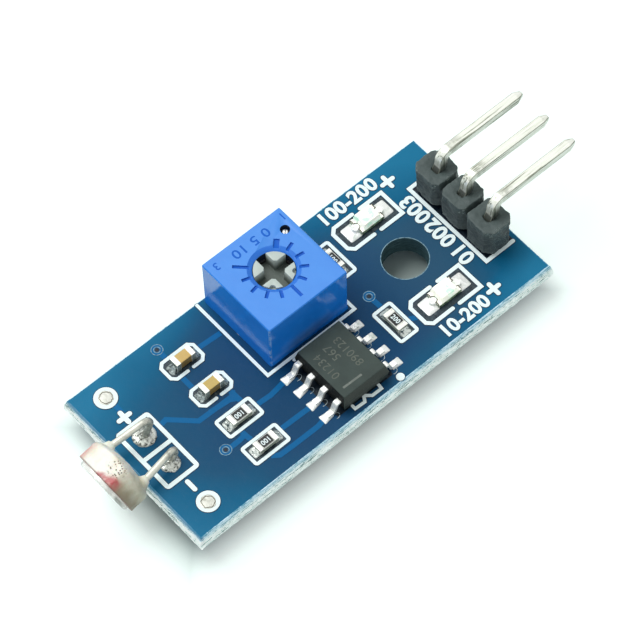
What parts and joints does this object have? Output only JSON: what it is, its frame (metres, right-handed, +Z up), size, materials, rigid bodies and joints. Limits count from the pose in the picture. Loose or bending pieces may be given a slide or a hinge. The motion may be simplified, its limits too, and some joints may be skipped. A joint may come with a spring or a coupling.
{
  "type": "light sensor module",
  "caption": "Small blue board with a photoresistor at one end, a comparator, a threshold trimmer, indicator lights, a mounting hole and a bent pin header at the other end.",
  "frame": {"origin": "middle of the mounting hole in the plane of the board's underside", "axes": "+X along the board towards the header's pins, +Y across the board towards the trimmer's side, +Z up from the component side"},
  "size_m": [0.0394, 0.0138, 0.0076],
  "materials": {
    "board": "satin blue solder mask over glass-fibre laminate with pale cut edges",
    "sensor_body": "cream resin coat with a pink stain at the front rim",
    "sensor_track": "fired red-brown track",
    "sensor_front_coat": "glossy clear resin",
    "header_housing": "matt moulded, speckled where it was snapped off",
    "header_pins": "bright tin plate",
    "tinned_wire": "tinned copper wire",
    "solder": "bright, slightly wrinkled solder",
    "trimmer_housing": "moulded blue, satin",
    "trimmer_rotor": "pale grey-green moulded",
    "trimmer_seal": "smooth dark rubber",
    "trimmer_wiper": "bright spring alloy",
    "trimmer_element": "fired ceramic",
    "trimmer_base": "cast resin",
    "comparator_body": "fine-grained dark moulding",
    "comparator_leads": "tin plate",
    "resistor_ceramic": "white ceramic",
    "resistor_film": "dark overglaze with pale digits",
    "capacitor_ceramic": "tan ceramic",
    "chip_terminals": "tin plate",
    "led_lens": "translucent pale epoxy",
    "led_base": "pale laminate"
  },
  "bodies": {
    "module": {"circuit_board": "board", "test_pads": "solder", "sensor_body": "sensor_body", "sensor_track": "sensor_track", "sensor_front_coat": "sensor_front_coat", "sensor_lead_far": "tinned_wire", "sensor_lead_near": "tinned_wire", "sensor_solder": "solder", "header_housing": "header_housing", "header_pin_far": "header_pins", "header_pin_middle": "header_pins", "header_pin_near": "header_pins", "header_solder": "solder", "trimmer_housing": "trimmer_housing", "trimmer_seal": "trimmer_seal", "trimmer_element": "trimmer_element", "trimmer_base": "trimmer_base", "trimmer_pin_1": "tinned_wire", "trimmer_pin_2": "tinned_wire", "trimmer_pin_3": "tinned_wire", "trimmer_solder": "solder", "comparator_body": "comparator_body", "comparator_lead_1": "comparator_leads", "comparator_lead_2": "comparator_leads", "comparator_lead_3": "comparator_leads", "comparator_lead_4": "comparator_leads", "comparator_lead_5": "comparator_leads", "comparator_lead_6": "comparator_leads", "comparator_lead_7": "comparator_leads", "comparator_lead_8": "comparator_leads", "comparator_solder": "solder", "resistor_1_body": "resistor_ceramic", "resistor_1_film": "resistor_film", "resistor_1_terminals": "chip_terminals", "resistor_2_body": "resistor_ceramic", "resistor_2_film": "resistor_film", "resistor_2_terminals": "chip_terminals", "resistor_3_body": "resistor_ceramic", "resistor_3_film": "resistor_film", "resistor_3_terminals": "chip_terminals", "resistor_4_body": "resistor_ceramic", "resistor_4_film": "resistor_film", "resistor_4_terminals": "chip_terminals", "resistor_solder": "solder", "capacitor_1_body": "capacitor_ceramic", "capacitor_1_terminals": "chip_terminals", "capacitor_2_body": "capacitor_ceramic", "capacitor_2_terminals": "chip_terminals", "capacitor_solder": "solder", "led_power_base": "led_base", "led_power_lens": "led_lens", "led_power_terminals": "chip_terminals", "led_output_base": "led_base", "led_output_lens": "led_lens", "led_output_terminals": "chip_terminals", "led_solder": "solder"},
    "adjuster": {"trimmer_rotor": "trimmer_rotor", "trimmer_wiper": "trimmer_wiper"}
  },
  "joints": [
    {"name": "trimmer_turn", "type": "hinge", "parent": "module", "child": "adjuster", "pos_m": [-0.00874, 0.003, 0.005], "axis": [0, 0, 1], "range_deg": [-130, 130]}
  ]
}
